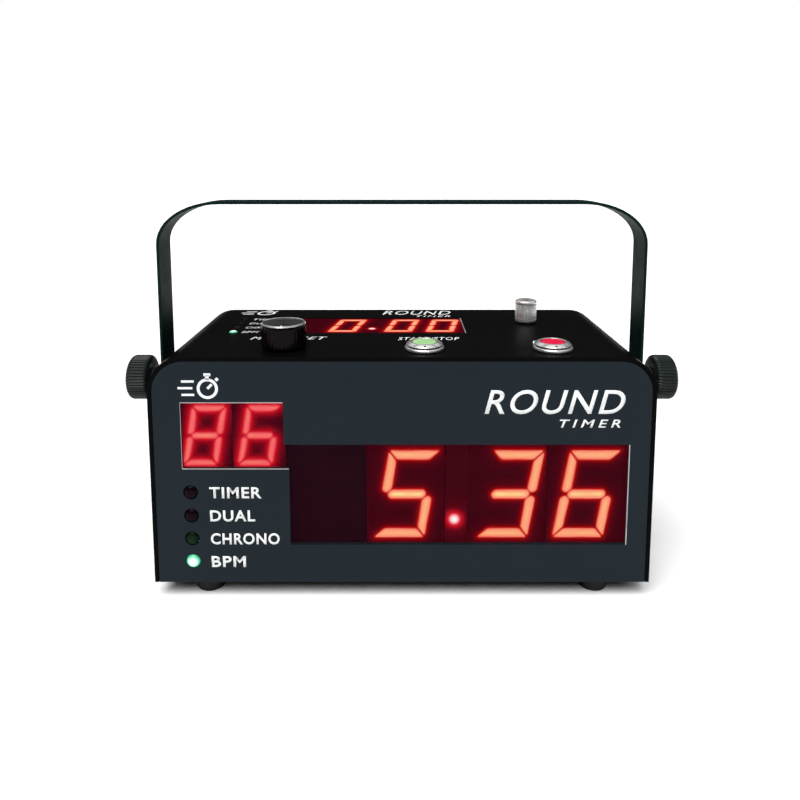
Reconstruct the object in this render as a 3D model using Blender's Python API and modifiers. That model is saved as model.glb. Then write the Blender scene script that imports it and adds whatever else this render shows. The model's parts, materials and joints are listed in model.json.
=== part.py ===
"""A gym round timer: a painted casing with LED displays, deck controls and a clamped swing handle.

Metres, +Z up. The origin is on the floor under the middle of the timer, +X is to its right as it
is read and the displays face -Y. Every piece keeps a gap of FIT to the pieces that it touches.
"""

import math

import bmesh
import bpy
from mathutils import Vector

mm = 0.001
FIT = 0.3 * mm
OVERLAP = 0.5 * mm

# Sides of a round shape, by its size
LARGE_ROUND = 36
ROUND = 24
SMALL_ROUND = 16

# Casing
WIDTH = 250 * mm
DEPTH = 110 * mm
FOOT_HEIGHT = 8 * mm
CASING_HEIGHT = 117 * mm
CORNER_RADIUS = 18 * mm
WALL = 2 * mm
PANEL_THICKNESS = 2.5 * mm
PILLAR_HEIGHT = 8 * mm
CORNER_STEPS = 12

FRONT = -DEPTH / 2
REAR = DEPTH / 2
DECK = FOOT_HEIGHT + CASING_HEIGHT
UNDER_DECK = DECK - WALL - FIT
PANEL_HALF = WIDTH / 2 - WALL - FIT
PANEL_BACK = FRONT + PANEL_THICKNESS

# Displays, as the windows' sides: small and large on the front, one more on the deck
SMALL_LEFT = -109 * mm
SMALL_RIGHT = -58.5 * mm
SMALL_BOTTOM = 68 * mm
SMALL_TOP = 102 * mm
LARGE_LEFT = -56 * mm
LARGE_RIGHT = 112.5 * mm
LARGE_BOTTOM = 28 * mm
LARGE_TOP = 80.5 * mm
DECK_WINDOW_LOW = (-69 * mm, FRONT + 48.2 * mm)
DECK_WINDOW_HIGH = (35.5 * mm, FRONT + 86 * mm)

MODULE_DEPTH = 10 * mm
MODULE_FRONT = PANEL_BACK + FIT
BOARD = 1.6 * mm
FRONT_BOARD = MODULE_FRONT + MODULE_DEPTH + FIT
LARGE_EDGES = [edge * mm for edge in (-57.3, -18.0, 21.5, 33.0, 72.5, 114.0)]
SMALL_EDGES = [edge * mm for edge in (-110.8, -84.2, -57.6)]
DECK_MODULE_HEIGHT = 8 * mm
DECK_BOARD_TOP = UNDER_DECK - DECK_MODULE_HEIGHT - FIT

# Mode lamps: one column on the front, one on the deck
LAMP_COUNT = 4
FRONT_LAMP_X = -105.3 * mm
FRONT_LAMP_Z = 19.2 * mm
FRONT_LAMP_PITCH = 12.18 * mm
FRONT_LAMP_RADIUS = 3.45 * mm
DECK_LAMP_X = -94.1 * mm
DECK_LAMP_Y = FRONT + 50.9 * mm
DECK_LAMP_PITCH = 10.4 * mm
DECK_LAMP_RADIUS = 2.3 * mm

# Deck controls, as (x, y) on the deck
MENU = (-60.3 * mm, FRONT + 17.9 * mm)
START = (11.4 * mm, FRONT + 15 * mm)
RESET = (76.5 * mm, FRONT + 15 * mm)
VOLUME = (73.4 * mm, FRONT + 75.2 * mm)
MENU_RADIUS = 11.45 * mm
MENU_TOP = 13.4 * mm
MENU_TRAVEL = 0.5 * mm
VOLUME_RADIUS = 6.25 * mm
VOLUME_TOP = 13.4 * mm
SHAFT_RADIUS = 3 * mm
BUSH_RADIUS = 4.5 * mm
BUTTON_RADIUS = 10 * mm
BARREL_RADIUS = 7.8 * mm
CAP_RADIUS = 6 * mm
BUTTON_TOP = 4.1 * mm
BUTTON_TRAVEL = 1.5 * mm

# Handle: a flat strap on two studs, clamped by two knobs
PIVOT_Y = FRONT + 39.5 * mm
PIVOT_Z = 102.8 * mm
HANDLE_TOP = 198.9 * mm
STRAP_WIDTH = 18.6 * mm
STRAP_THICKNESS = 1.5 * mm
STRAP_INNER = 126.5 * mm
STRAP_CORNER_X = 33.7 * mm
STRAP_CORNER_Z = 22.5 * mm
STUD_RADIUS = 3 * mm
HOLE_RADIUS = STUD_RADIUS + FIT
CLAMP_RADIUS = 11.9 * mm
CLAMP_OUTER = 147.3 * mm

# Rear panel
SPEAKER = (-58 * mm, 68 * mm)
SPEAKER_RADIUS = 26 * mm
INLET = (88 * mm, 26 * mm)

PARTS = "gym_round_timer"
CUTTERS = "cutters"


# ---------------------------------------------------------------- scene and materials


def clear_scene():
    for obj in list(bpy.data.objects):
        bpy.data.objects.remove(obj, do_unlink=True)
    for name in (PARTS, CUTTERS):
        group = bpy.data.collections.new(name)
        bpy.context.scene.collection.children.link(group)
    bpy.data.collections[CUTTERS].hide_render = True


def finish(colour, roughness, metallic=0.0):
    """The settings of a piece's own material."""
    return {"colour": colour, "roughness": roughness, "metallic": metallic}


COAT = finish((0.010, 0.010, 0.011), 0.45)
SLATE = finish((0.022, 0.030, 0.036), 0.5)
SMOKED = finish((0.020, 0.001, 0.003), 0.08)
RUBBER = finish((0.008, 0.008, 0.008), 0.6)
CIRCUIT = finish((0.010, 0.060, 0.020), 0.5)
MODULE = finish((0.070, 0.0, 0.004), 0.4)
PLASTIC = finish((0.012, 0.012, 0.012), 0.4)
PAINT = finish((0.012, 0.022, 0.020), 0.4)
STEEL = finish((0.6, 0.6, 0.6), 0.3, 1.0)
CHROME = finish((0.85, 0.85, 0.85), 0.12, 1.0)
ALUMINIUM = finish((0.75, 0.75, 0.75), 0.3, 1.0)
GREEN_CAP = finish((0.38, 0.70, 0.28), 0.45)
RED_CAP = finish((0.90, 0.01, 0.05), 0.45)
DARK_GREEN_LAMP = finish((0.004, 0.030, 0.012), 0.2)
DARK_RED_LAMP = finish((0.030, 0.002, 0.004), 0.2)
LIT_LAMP = finish((0.30, 0.85, 0.55), 0.2)


def material_for(name, look):
    material = bpy.data.materials.new(name)
    material.use_nodes = True
    shader = material.node_tree.nodes["Principled BSDF"]
    shader.inputs["Base Color"].default_value = (*look["colour"], 1.0)
    shader.inputs["Roughness"].default_value = look["roughness"]
    shader.inputs["Metallic"].default_value = look["metallic"]
    return material


# ---------------------------------------------------------------- ways of making a piece


def place(name, data, look, place_at=(0, 0, 0), along=(0, 0, 1), pivot=None):
    """Link one piece, or a cutter if it has no look, with its local +Z turned to point along."""
    piece = bpy.data.objects.new(name, data)
    group = bpy.data.collections[PARTS if look else CUTTERS]
    group.objects.link(piece)
    piece.rotation_euler = Vector((0, 0, 1)).rotation_difference(Vector(along)).to_euler()
    piece.location = place_at
    if pivot:
        piece.parent = pivot
        piece.location = Vector(place_at) - pivot.location
    if look:
        data.materials.append(material_for(name, look))
    else:
        piece.hide_render = True
        piece.display_type = "WIRE"
    return piece


def joint_axis(name, location):
    """An empty on a joint's axis, which carries the pieces that move on it."""
    pivot = bpy.data.objects.new(name, None)
    pivot.empty_display_size = 10 * mm
    pivot.location = location
    bpy.data.collections[PARTS].objects.link(pivot)
    return pivot


def mesh_from(form, name):
    bmesh.ops.recalc_face_normals(form, faces=form.faces[:])
    mesh = bpy.data.meshes.new(name)
    form.to_mesh(mesh)
    form.free()
    return mesh


def block(name, low, high, look=None, pivot=None):
    """A rectangular piece between two opposite corners."""
    low, high = Vector(low), Vector(high)
    form = bmesh.new()
    bmesh.ops.create_cube(form, size=1.0)
    bmesh.ops.scale(form, vec=high - low, verts=form.verts[:])
    return place(name, mesh_from(form, name), look, (low + high) / 2, pivot=pivot)


def rod(name, start, along, length, radius, look=None, sides=ROUND, pivot=None):
    """A round rod, or a prism of few sides, that starts at a point and runs along a direction."""
    form = bmesh.new()
    bmesh.ops.create_cone(
        form, cap_ends=True, segments=sides, radius1=radius, radius2=radius, depth=length
    )
    bmesh.ops.translate(form, vec=(0, 0, length / 2), verts=form.verts[:])
    mesh = mesh_from(form, name)
    mesh.shade_smooth()
    mesh.set_sharp_from_angle(angle=math.radians(50))
    return place(name, mesh, look, start, along, pivot)


def plate(name, outline, near, far, look=None):
    """An upright outline of (x, z) points, given thickness between two y."""
    form = bmesh.new()
    face = form.faces.new([form.verts.new((x, near, z)) for x, z in outline])
    grown = bmesh.ops.extrude_face_region(form, geom=[face])["geom"]
    moved = [item for item in grown if isinstance(item, bmesh.types.BMVert)]
    bmesh.ops.translate(form, vec=(0, far - near, 0), verts=moved)
    return place(name, mesh_from(form, name), look)


def turned(name, profile, look, centre, along=(0, 0, 1), ring=False, steps=ROUND, pivot=None):
    """A turned piece. The profile holds (radius, height) down its outer side, top to bottom.

    A ring's profile then comes back up its bore and closes on itself.
    """
    form = bmesh.new()
    points = [form.verts.new((radius, 0, height)) for radius, height in profile]
    ends = points[1:] + points[:1] if ring else points[1:]
    for start, end in zip(points, ends):
        form.edges.new((start, end))
    mesh = bpy.data.meshes.new(name)
    form.to_mesh(mesh)
    form.free()
    piece = place(name, mesh, look, centre, along, pivot)
    turn = piece.modifiers.new("Turn", "SCREW")
    turn.axis = "Z"
    turn.steps = steps
    turn.render_steps = steps
    turn.use_merge_vertices = True
    turn.merge_threshold = 0.01 * mm
    return piece


def combine(piece, other, operation):
    """Cut a helper from a piece, or join it on."""
    change = piece.modifiers.new(other.name, "BOOLEAN")
    change.operation = operation
    change.object = other


def cut(piece, other):
    combine(piece, other, "DIFFERENCE")


def join(piece, other):
    combine(piece, other, "UNION")


def drill(piece, start, along, length, radius, sides=ROUND):
    """Drill a round hole from a point along a direction."""
    name = f"{piece.name}_drill_{len(piece.modifiers)}"
    cut(piece, rod(name, start, along, length, radius, sides=sides))


# ---------------------------------------------------------------- casing


def arch(half_width, bottom, top, radius):
    """An upright outline of (x, z) points: up the left side, over the rounded top, down the right."""
    right = []
    for step in range(CORNER_STEPS + 1):
        angle = math.radians(90) * step / CORNER_STEPS
        x = half_width - radius + radius * math.cos(angle)
        right.append((x, top - radius + radius * math.sin(angle)))
    right.insert(0, (half_width, bottom))
    return [(-x, z) for x, z in right] + right[::-1]


def make_cover():
    """The wrap of the casing: left side, deck and right side in one bent sheet, open at both ends."""
    outline = arch(WIDTH / 2, FOOT_HEIGHT, DECK, CORNER_RADIUS)
    form = bmesh.new()
    front = [form.verts.new((x, FRONT, z)) for x, z in outline]
    rear = [form.verts.new((x, REAR, z)) for x, z in outline]
    for index in range(len(outline) - 1):
        form.faces.new((front[index], front[index + 1], rear[index + 1], rear[index]))
    mesh = bpy.data.meshes.new("cover")
    form.to_mesh(mesh)
    form.free()
    mesh.shade_smooth()
    mesh.set_sharp_from_angle(angle=math.radians(30))
    cover = place("cover", mesh, COAT)
    shell = cover.modifiers.new("Sheet", "SOLIDIFY")
    shell.thickness = WALL
    shell.offset = 1 if mesh.polygons[0].normal.x > 0 else -1
    shell.use_even_offset = True

    above = DECK + 5 * mm
    window = block("deck_opening", (*DECK_WINDOW_LOW, UNDER_DECK - 5 * mm), (*DECK_WINDOW_HIGH, above))
    cut(cover, window)
    holes = [(MENU, BUSH_RADIUS), (START, BARREL_RADIUS), (RESET, BARREL_RADIUS), (VOLUME, SHAFT_RADIUS)]
    for spot, radius in holes:
        drill(cover, (*spot, above), (0, 0, -1), 15 * mm, radius + FIT)
    for spot in deck_lamp_spots():
        drill(cover, (*spot, above), (0, 0, -1), 15 * mm, DECK_LAMP_RADIUS + FIT, SMALL_ROUND)
    drill(cover, (-WIDTH, PIVOT_Y, PIVOT_Z), (1, 0, 0), 2 * WIDTH, BUSH_RADIUS + FIT)


def make_base_tray():
    """The floor of the casing, with upturned sides and four pillars for the main board."""
    half, lip, rise = PANEL_HALF, PANEL_HALF - WALL, 14 * mm
    low, floor = FOOT_HEIGHT, FOOT_HEIGHT + WALL
    right = [(half, low), (half, low + rise), (lip, low + rise), (lip, floor)]
    outline = right + [(-x, z) for x, z in reversed(right)]
    tray = plate("base_tray", outline, PANEL_BACK + FIT, -PANEL_BACK - FIT, COAT)
    for index, (x, y) in enumerate(pillar_spots()):
        start = (x, y, floor - OVERLAP)
        length = PILLAR_HEIGHT + OVERLAP
        join(tray, rod(f"tray_pillar_{index}", start, (0, 0, 1), length, 3 * mm, sides=SMALL_ROUND))


def pillar_spots():
    return [(x * mm, y * mm) for x in (-25, 85) for y in (-24, 34)]


def make_feet():
    profile = [(0, FOOT_HEIGHT - FIT), (7.15 * mm, FOOT_HEIGHT - FIT)]
    profile += [(7.15 * mm, 0.7 * mm), (6.45 * mm, 0), (0, 0)]
    for end, y in (("front", FRONT + 11.5 * mm), ("rear", REAR - 11.5 * mm)):
        for side, x in (("left", -99.5 * mm), ("right", 99.5 * mm)):
            turned(f"foot_{end}_{side}", profile, RUBBER, (x, y, 0))


def panel_outline():
    return arch(PANEL_HALF, FOOT_HEIGHT, DECK - WALL - FIT, CORNER_RADIUS - WALL - FIT)


def front_window_outline(shrink=0.0):
    """The small window and the large one, which meet corner to corner in one opening."""
    left, right = SMALL_LEFT + shrink, SMALL_RIGHT - shrink
    bottom, top = SMALL_BOTTOM + shrink, SMALL_TOP - shrink
    large_left, large_right = LARGE_LEFT + shrink, LARGE_RIGHT - shrink
    large_bottom, large_top = LARGE_BOTTOM + shrink, LARGE_TOP - shrink
    return [
        (left, bottom),
        (large_left, bottom),
        (large_left, large_bottom),
        (large_right, large_bottom),
        (large_right, large_top),
        (right, large_top),
        (right, top),
        (left, top),
    ]


def make_front_panel():
    panel = plate("front_panel", panel_outline(), FRONT, PANEL_BACK, SLATE)
    ahead, behind = FRONT - 5 * mm, PANEL_BACK + 5 * mm
    cut(panel, plate("front_opening", front_window_outline(), ahead, behind))
    for x, z in front_lamp_spots():
        drill(panel, (x, ahead, z), (0, 1, 0), behind - ahead, FRONT_LAMP_RADIUS + FIT, SMALL_ROUND)
    length = FRONT_BOARD - FIT - PANEL_BACK + OVERLAP
    for index, (x, z) in enumerate([(-75, 20), (-75, 56), (20, 20), (106, 20)]):
        start = (x * mm, PANEL_BACK - OVERLAP, z * mm)
        join(panel, rod(f"board_post_{index}", start, (0, 1, 0), length, 2.5 * mm, sides=SMALL_ROUND))
    plate("front_window", front_window_outline(FIT), FRONT, PANEL_BACK, SMOKED)


def make_deck_window():
    low = (DECK_WINDOW_LOW[0] + FIT, DECK_WINDOW_LOW[1] + FIT, DECK - WALL)
    high = (DECK_WINDOW_HIGH[0] - FIT, DECK_WINDOW_HIGH[1] - FIT, DECK)
    block("deck_window", low, high, SMOKED)


def make_rear_panel():
    """The back of the casing, with the loudspeaker's slots and the power inlet's hole."""
    panel = plate("rear_panel", panel_outline(), -PANEL_BACK, REAR, COAT)
    slot, pitch, reach = 3 * mm, 6 * mm, 21 * mm
    x, z = SPEAKER
    for row in range(-3, 4):
        height = z + row * pitch
        half = math.sqrt(reach**2 - (row * pitch) ** 2)
        low = (x - half, -PANEL_BACK - 5 * mm, height - slot / 2)
        high = (x + half, REAR + 5 * mm, height + slot / 2)
        cut(panel, block(f"speaker_slot_{row + 4}", low, high))
    drill(panel, (INLET[0], REAR + 5 * mm, INLET[1]), (0, -1, 0), 15 * mm, 4 * mm + FIT)


# ---------------------------------------------------------------- displays and electronics


def front_lamp_spots():
    return [(FRONT_LAMP_X, FRONT_LAMP_Z + row * FRONT_LAMP_PITCH) for row in range(LAMP_COUNT)]


def deck_lamp_spots():
    return [(DECK_LAMP_X, DECK_LAMP_Y + row * DECK_LAMP_PITCH) for row in range(LAMP_COUNT)]


def make_display_modules():
    """Seven-segment modules side by side behind the front window, and the point between two of them."""
    names = ["large_digit_1", "large_digit_2", "separator_lamp", "large_digit_3", "large_digit_4"]
    rows = [(names, LARGE_EDGES, LARGE_BOTTOM - 1.5 * mm, LARGE_TOP + 1.5 * mm)]
    names = ["small_digit_1", "small_digit_2"]
    rows.append((names, SMALL_EDGES, SMALL_BOTTOM - 1.5 * mm, SMALL_TOP + 1.5 * mm))
    for names, edges, bottom, top in rows:
        for name, left, right in zip(names, edges, edges[1:]):
            low = (left + FIT / 2, MODULE_FRONT, bottom)
            block(name, low, (right - FIT / 2, MODULE_FRONT + MODULE_DEPTH, top), MODULE)
    low = (DECK_WINDOW_LOW[0] - 1 * mm, DECK_WINDOW_LOW[1] - 1 * mm, DECK_BOARD_TOP + FIT)
    high = (DECK_WINDOW_HIGH[0] + 1 * mm, DECK_WINDOW_HIGH[1] + 1 * mm, UNDER_DECK)
    block("deck_display", low, high, MODULE)


def make_boards():
    left, middle, right = SMALL_LEFT - 3 * mm, LARGE_LEFT - 1 * mm, LARGE_RIGHT + 1.5 * mm
    bottom, step, top = 13 * mm, LARGE_TOP + 3.5 * mm, SMALL_TOP + 2 * mm
    outline = [(left, bottom), (right, bottom), (right, step), (middle, step), (middle, top), (left, top)]
    plate("front_display_board", outline, FRONT_BOARD, FRONT_BOARD + BOARD, CIRCUIT)
    low = (DECK_LAMP_X - 4 * mm, FRONT + 45 * mm, DECK_BOARD_TOP - BOARD)
    block("deck_display_board", low, (84 * mm, FRONT + 90 * mm, DECK_BOARD_TOP), CIRCUIT)
    floor = FOOT_HEIGHT + WALL + PILLAR_HEIGHT + FIT
    block("main_board", (-30 * mm, -29 * mm, floor), (90 * mm, 39 * mm, floor + BOARD), CIRCUIT)


def lamp_profile(radius, rise, surface, back, flange):
    """A round-topped lamp: its dome stands proud of the surface and its flange sits on the board."""
    steps = 3
    dome = 1.6 * rise
    profile = []
    for step in range(steps + 1):
        angle = math.radians(90) * step / steps
        profile.append((radius * math.sin(angle), surface + rise - dome * (1 - math.cos(angle))))
    rim = back + 3 * mm
    return profile + [(radius, rim), (flange, rim), (flange, back), (0, back)]


def make_lamps():
    looks = [LIT_LAMP, DARK_GREEN_LAMP, DARK_RED_LAMP, DARK_RED_LAMP]
    back = -(FRONT_BOARD - FIT)
    profile = lamp_profile(FRONT_LAMP_RADIUS, 1 * mm, -FRONT, back, 4.2 * mm)
    for row, (x, z) in enumerate(front_lamp_spots()):
        turned(f"mode_lamp_{row + 1}", profile, looks[row], (x, 0, z), (0, -1, 0), steps=SMALL_ROUND)
    profile = lamp_profile(DECK_LAMP_RADIUS, 0.8 * mm, DECK, DECK_BOARD_TOP + FIT, 2.9 * mm)
    for row, (x, y) in enumerate(deck_lamp_spots()):
        turned(f"deck_lamp_{row + 1}", profile, looks[row], (x, y, 0), steps=SMALL_ROUND)


def make_loudspeaker():
    """A cone loudspeaker behind its slots, facing the rear."""
    face = -PANEL_BACK - FIT
    radius = SPEAKER_RADIUS
    profile = [(0, face - 7 * mm), (6 * mm, face - 8 * mm), (8 * mm, face - 9 * mm)]
    profile += [(radius - 5 * mm, face - 1.5 * mm), (radius - 3 * mm, face), (radius, face)]
    profile += [(radius, face - 2 * mm), (radius - 2 * mm, face - 2 * mm), (17 * mm, face - 13 * mm)]
    profile += [(17 * mm, face - 21 * mm), (0, face - 21 * mm)]
    turned("loudspeaker", profile, PLASTIC, (SPEAKER[0], 0, SPEAKER[1]), (0, 1, 0))


def make_power_inlet():
    """A round low-voltage socket with a centre pin, put in from outside and held by a nut inside."""
    mouth = REAR + 1 * mm
    flange = REAR + FIT
    profile = [(0, mouth - 1.5 * mm), (1 * mm, mouth - 1.5 * mm), (1 * mm, mouth - 10 * mm)]
    profile += [(2.8 * mm, mouth - 10 * mm), (2.8 * mm, mouth), (5.5 * mm, mouth), (5.5 * mm, flange)]
    profile += [(4 * mm, flange), (4 * mm, 40 * mm), (0, 40 * mm)]
    turned("power_inlet", profile, PLASTIC, (INLET[0], 0, INLET[1]), (0, 1, 0))
    start = (INLET[0], -PANEL_BACK - FIT, INLET[1])
    hex_nut("power_inlet_nut", start, (0, -1, 0), 3 * mm, 11 * mm, 4 * mm + FIT)


def hex_nut(name, start, along, height, across_flats, bore):
    nut = rod(name, start, along, height, across_flats / math.sqrt(3), STEEL, sides=6)
    before = Vector(start) - Vector(along) * 2 * mm
    drill(nut, before, along, height + 4 * mm, bore)


# ---------------------------------------------------------------- deck controls


def make_menu_control():
    """A rotary encoder that is pressed and turned, under a hollow knob."""
    x, y = MENU
    half = 6.2 * mm
    bush_top = DECK + 5 * mm
    floor = DECK - 10 * mm
    low = (x - half, y - half, floor - 1.5 * mm)
    body = block("encoder_body", low, (x + half, y + half, UNDER_DECK), PLASTIC)
    rise = bush_top - UNDER_DECK
    start = (x, y, UNDER_DECK - OVERLAP)
    join(body, rod("encoder_bush", start, (0, 0, 1), rise + OVERLAP, BUSH_RADIUS))
    drill(body, (x, y, bush_top + 5 * mm), (0, 0, -1), bush_top + 5 * mm - floor, HOLE_RADIUS)
    hex_nut("encoder_nut", (x, y, DECK + FIT), (0, 0, 1), 2 * mm, 12 * mm, BUSH_RADIUS + FIT)

    pressed = joint_axis("menu_axis", (x, y, DECK))
    plunger = floor + MENU_TRAVEL + FIT
    plunger_top = plunger + 1.5 * mm
    rod("encoder_plunger", (x, y, plunger), (0, 0, 1), 1.5 * mm, SHAFT_RADIUS, STEEL, pivot=pressed)
    shaft_top = DECK + MENU_TOP - 2.4 * mm
    shaft = shaft_top - plunger_top - FIT
    rod("encoder_shaft", (x, y, plunger_top + FIT), (0, 0, 1), shaft, SHAFT_RADIUS, STEEL, pivot=pressed)

    top, skirt, hollow = MENU_TOP, 1 * mm, 5.8 * mm
    profile = [(0, top), (MENU_RADIUS - 1.2 * mm, top), (MENU_RADIUS - 0.3 * mm, top - 0.6 * mm)]
    profile += [(MENU_RADIUS, top - 1.5 * mm), (MENU_RADIUS, skirt), (9 * mm, skirt), (9 * mm, hollow)]
    profile += [(HOLE_RADIUS, hollow), (HOLE_RADIUS, top - 2.1 * mm), (0, top - 2.1 * mm)]
    turned("menu_knob", profile, PLASTIC, (x, y, DECK), steps=LARGE_ROUND, pivot=pressed)


def make_volume_control():
    """A potentiometer on the deck's board, its shaft and a small aluminium knob."""
    x, y = VOLUME
    half = 6.5 * mm
    floor = DECK_BOARD_TOP + FIT
    pot_top = UNDER_DECK - FIT
    pot = block("volume_pot", (x - half, y - half, floor), (x + half, y + half, pot_top), PLASTIC)
    bottom = floor + 1.5 * mm
    drill(pot, (x, y, pot_top + 5 * mm), (0, 0, -1), pot_top + 5 * mm - bottom, HOLE_RADIUS)
    turning = joint_axis("volume_axis", (x, y, DECK))
    shaft_top = DECK + VOLUME_TOP - 3.4 * mm
    start = (x, y, bottom + FIT)
    rod("volume_shaft", start, (0, 0, 1), shaft_top - start[2], SHAFT_RADIUS, STEEL, pivot=turning)
    top, skirt, radius = VOLUME_TOP, 0.5 * mm, VOLUME_RADIUS
    profile = [(0, top), (radius - 0.6 * mm, top), (radius, top - 0.6 * mm)]
    profile += [(radius, skirt + 0.3 * mm), (radius - 0.3 * mm, skirt), (HOLE_RADIUS, skirt)]
    profile += [(HOLE_RADIUS, top - 3.1 * mm), (0, top - 3.1 * mm)]
    turned("volume_knob", profile, ALUMINIUM, (x, y, DECK), pivot=turning)


def make_push_button(name, spot, look):
    """A threaded button: housing through the deck, nut below it, coloured cap on a coil spring."""
    x, y = spot
    top, bore = BUTTON_TOP, CAP_RADIUS + FIT
    floor = -21 * mm
    profile = [(7.4 * mm, top), (9.2 * mm, top - 1.2 * mm), (9.2 * mm, 2.6 * mm), (8.6 * mm, 2.6 * mm)]
    profile += [(8.6 * mm, 2 * mm), (9.6 * mm, 2 * mm), (BUTTON_RADIUS, 1.6 * mm), (BUTTON_RADIUS, FIT)]
    profile += [(BARREL_RADIUS, FIT), (BARREL_RADIUS, floor - 3 * mm), (0, floor - 3 * mm)]
    profile = [(0, floor), (bore, floor), (bore, top)] + profile
    turned(f"{name}_button_housing", profile, CHROME, (x, y, DECK))
    nut_top = (x, y, UNDER_DECK)
    hex_nut(f"{name}_button_nut", nut_top, (0, 0, -1), 3 * mm, 19 * mm, BARREL_RADIUS + FIT)

    pressed = joint_axis(f"{name}_axis", (x, y, DECK))
    cap_top, cap_bottom = top + 0.3 * mm, -13 * mm
    profile = [(0, cap_top), (CAP_RADIUS - 0.5 * mm, cap_top), (CAP_RADIUS, cap_top - 0.4 * mm)]
    profile += [(CAP_RADIUS, cap_bottom), (0, cap_bottom)]
    turned(f"{name}_button_cap", profile, look, (x, y, DECK), pivot=pressed)
    coil_spring(f"{name}_button_spring", (x, y, DECK), floor + FIT, cap_bottom - FIT)


def coil_spring(name, centre, bottom, top, radius=3.6 * mm, wire=0.4 * mm, turns=4):
    points_per_turn = 10
    count = turns * points_per_turn
    curve = bpy.data.curves.new(name, "CURVE")
    curve.dimensions = "3D"
    curve.bevel_depth = wire
    curve.bevel_resolution = 1
    curve.use_fill_caps = True
    spline = curve.splines.new("POLY")
    spline.points.add(count)
    low, high = bottom + wire, top - wire
    for index, point in enumerate(spline.points):
        angle = math.tau * index / points_per_turn
        height = low + (high - low) * index / count
        point.co = (radius * math.cos(angle), radius * math.sin(angle), height, 1)
    place(name, curve, STEEL, centre)


# ---------------------------------------------------------------- handle


def strap_rows():
    """Rows across the strap as (x, z, half width), from the left leg's round end to the right's."""
    half = STRAP_WIDTH / 2
    middle = STRAP_INNER + STRAP_THICKNESS / 2
    reach_x = STRAP_CORNER_X - STRAP_THICKNESS / 2
    reach_z = STRAP_CORNER_Z - STRAP_THICKNESS / 2
    corner_z = HANDLE_TOP - STRAP_CORNER_Z
    rows = []
    end_steps = 7
    for step in range(end_steps + 1):
        angle = math.radians(82) * (1 - step / end_steps)
        rows.append((middle, PIVOT_Z - half * math.sin(angle), half * math.cos(angle)))
    for step in range(CORNER_STEPS + 1):
        angle = math.radians(90) * step / CORNER_STEPS
        x = middle - reach_x + reach_x * math.cos(angle)
        rows.append((x, corner_z + reach_z * math.sin(angle), half))
    return [(-x, z, width) for x, z, width in rows] + rows[::-1]


def make_handle():
    """A flat bar bent over the casing, with a hole for a stud at the end of each leg."""
    pivot = joint_axis("handle_axis", (0, PIVOT_Y, PIVOT_Z))
    form = bmesh.new()
    rows = []
    for x, z, width in strap_rows():
        rows.append([form.verts.new((x, side * width, z - PIVOT_Z)) for side in (-1, 1)])
    for here, beyond in zip(rows, rows[1:]):
        form.faces.new((here[0], here[1], beyond[1], beyond[0]))
    mesh = mesh_from(form, "handle_strap")
    mesh.shade_smooth()
    mesh.set_sharp_from_angle(angle=math.radians(30))
    strap = place("handle_strap", mesh, PAINT, (0, PIVOT_Y, PIVOT_Z), pivot=pivot)
    bar = strap.modifiers.new("Bar", "SOLIDIFY")
    bar.thickness = STRAP_THICKNESS
    bar.offset = 0
    bar.use_even_offset = True
    drill(strap, (-WIDTH, PIVOT_Y, PIVOT_Z), (1, 0, 0), 2 * WIDTH, HOLE_RADIUS)
    for side, out in (("left", -1), ("right", 1)):
        make_clamp(side, out, pivot)


def washer(name, near, far, look, along, pivot):
    outer = STRAP_WIDTH / 2
    profile = [(outer, far), (outer, near), (HOLE_RADIUS, near), (HOLE_RADIUS, far)]
    turned(name, profile, look, (0, PIVOT_Y, PIVOT_Z), along, ring=True, pivot=pivot)


def make_clamp(side, out, pivot):
    """Insert, washers, stud and hand knob on one end of the handle's axis, by distance out along x."""
    centre, along = (0, PIVOT_Y, PIVOT_Z), (out, 0, 0)
    wall = WIDTH / 2
    inside = wall - WALL - FIT
    flange, barrel = 7 * mm, BUSH_RADIUS
    profile = [(barrel, wall - FIT), (barrel, inside), (flange, inside), (flange, inside - WALL)]
    profile += [(barrel, inside - WALL), (barrel, 112 * mm)]
    profile += [(HOLE_RADIUS, 112 * mm), (HOLE_RADIUS, wall - FIT)]
    turned(f"pivot_insert_{side}", profile, STEEL, centre, along, ring=True)
    washer(f"friction_washer_{side}", wall + FIT, STRAP_INNER - FIT, RUBBER, along, None)
    strap_outer = STRAP_INNER + STRAP_THICKNESS
    collar = strap_outer + 1.8 * mm
    washer(f"thrust_washer_{side}", strap_outer + FIT, collar - FIT, STEEL, along, pivot)

    grip, chamfer, neck = 135.8 * mm, 2.7 * mm, 5.2 * mm
    profile = [(0, CLAMP_OUTER), (CLAMP_RADIUS - chamfer, CLAMP_OUTER)]
    profile += [(CLAMP_RADIUS, CLAMP_OUTER - chamfer), (CLAMP_RADIUS, grip + chamfer)]
    profile += [(CLAMP_RADIUS - chamfer, grip), (neck, grip), (neck, collar)]
    profile += [(HOLE_RADIUS, collar), (HOLE_RADIUS, 143.3 * mm), (0, 143.3 * mm)]
    turned(f"clamp_knob_{side}", profile, PLASTIC, centre, along, steps=LARGE_ROUND, pivot=pivot)
    start = (out * 113 * mm, PIVOT_Y, PIVOT_Z)
    rod(f"clamp_stud_{side}", start, along, 30 * mm, STUD_RADIUS, STEEL, pivot=pivot)


def main():
    clear_scene()
    make_cover()
    make_base_tray()
    make_feet()
    make_front_panel()
    make_deck_window()
    make_rear_panel()
    make_display_modules()
    make_boards()
    make_lamps()
    make_loudspeaker()
    make_power_inlet()
    make_menu_control()
    make_volume_control()
    make_push_button("start", START, GREEN_CAP)
    make_push_button("reset", RESET, RED_CAP)
    make_handle()


main()
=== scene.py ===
"""The looks of the gym round timer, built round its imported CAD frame.

Everything is in metres in the frame of the CAD model: +X right, -Y towards the reader, +Z up.
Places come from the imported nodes' boxes; sizes of the visual details are the constants below.
"""

import json
import math

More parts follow.
